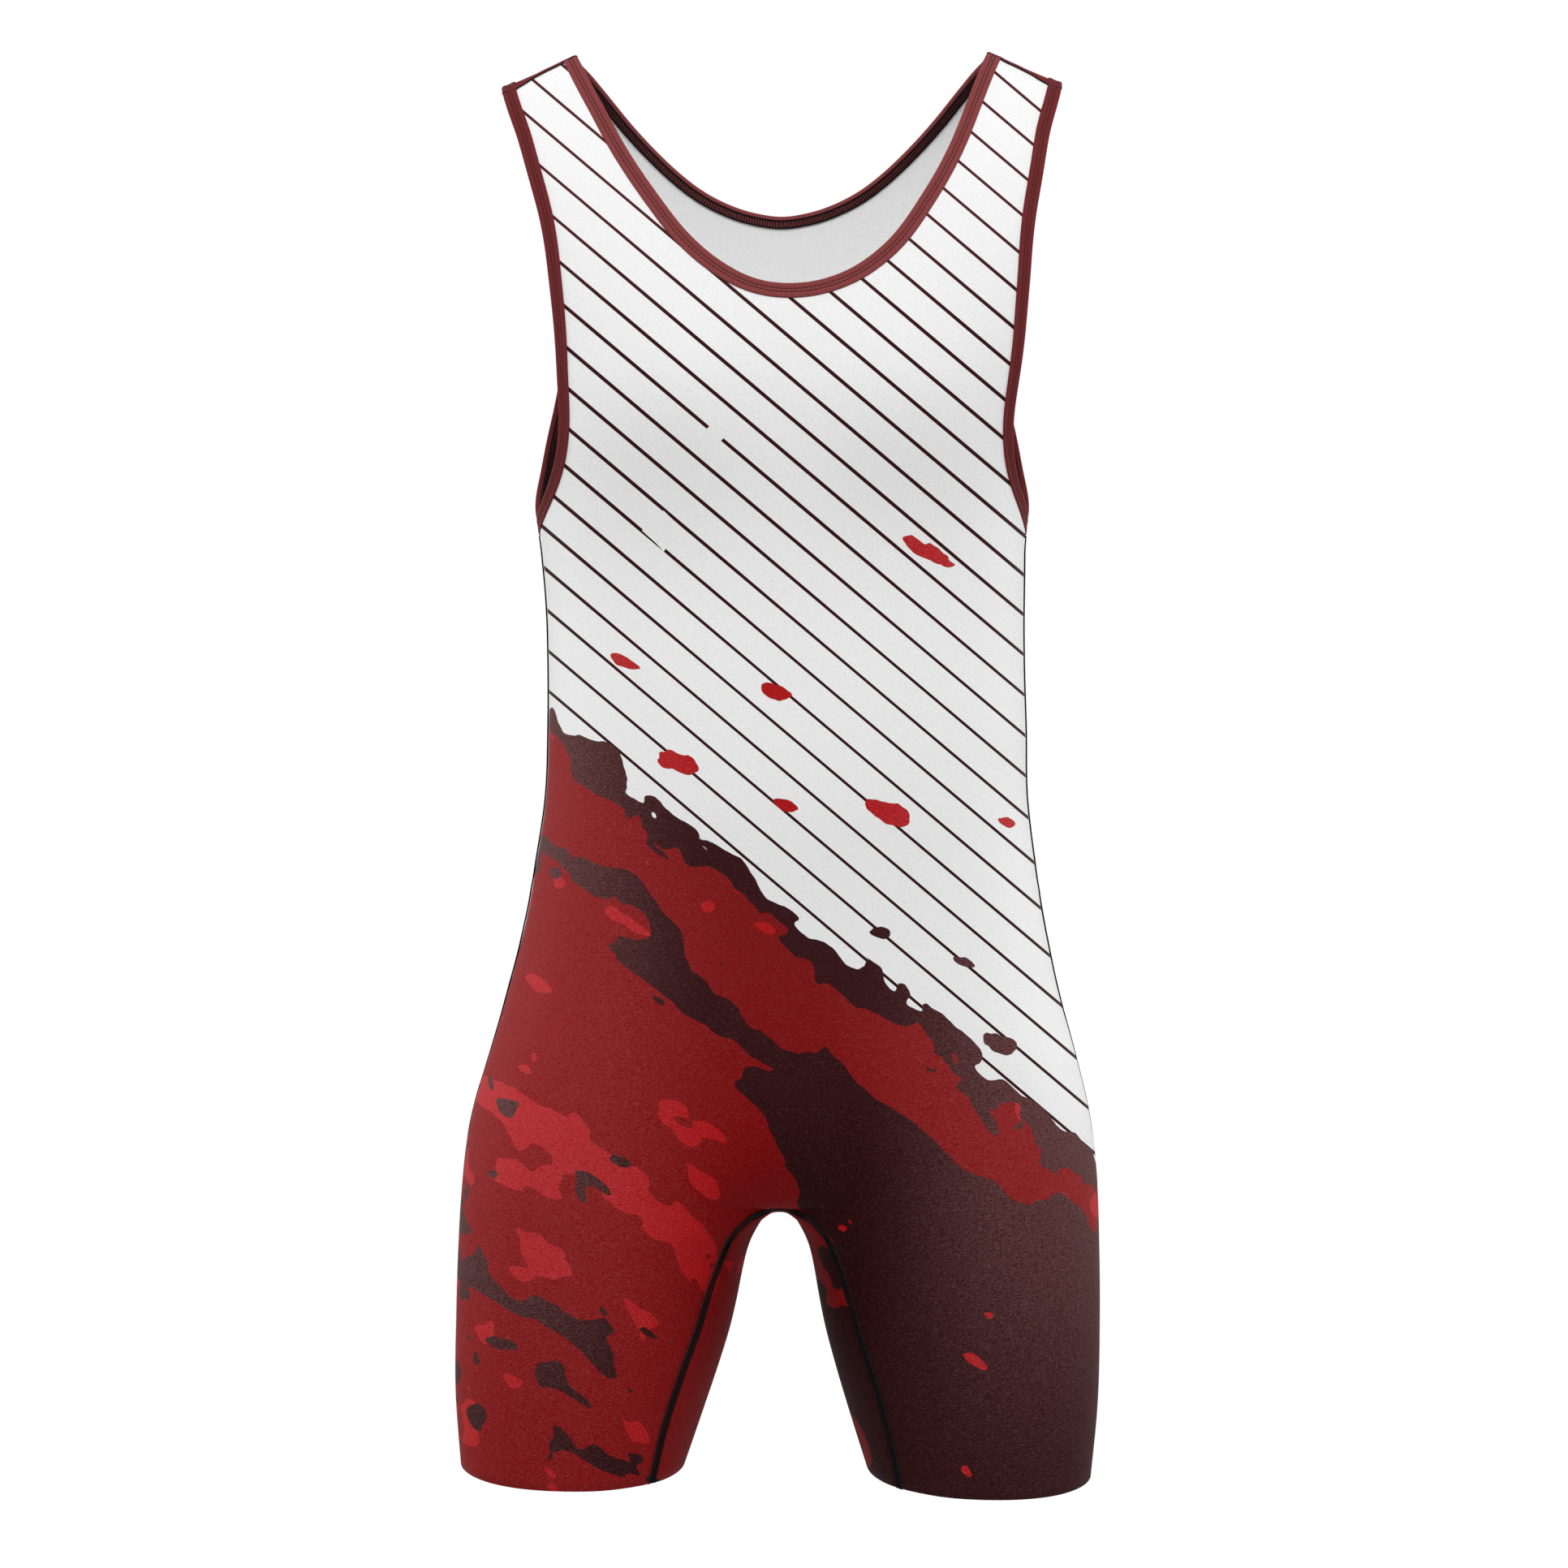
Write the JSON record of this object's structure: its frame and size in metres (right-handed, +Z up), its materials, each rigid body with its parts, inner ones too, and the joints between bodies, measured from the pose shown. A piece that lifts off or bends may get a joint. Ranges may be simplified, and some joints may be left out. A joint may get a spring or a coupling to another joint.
{
  "type": "wrestling singlet",
  "caption": "Sleeveless one-piece wrestling singlet with shoulder straps, bound neck and armholes and short legs, hollow and filled out as worn.",
  "frame": {"origin": "midway between the crests of the two shoulder straps and level with them, where a wearer's shoulders hold the garment", "axes": "+Z up from hems to straps, -Y out of the front, +X to the wearer's left"},
  "size_m": [0.3793, 0.2235, 0.8366],
  "materials": {
    "front_knit": "matte",
    "back_knit": "matte",
    "binding_knit": "matte"
  },
  "bodies": {
    "root": {"front_panel": "front_knit", "back_panel": "back_knit", "neck_binding": "binding_knit", "armhole_binding_left": "binding_knit", "armhole_binding_right": "binding_knit"}
  },
  "joints": []
}
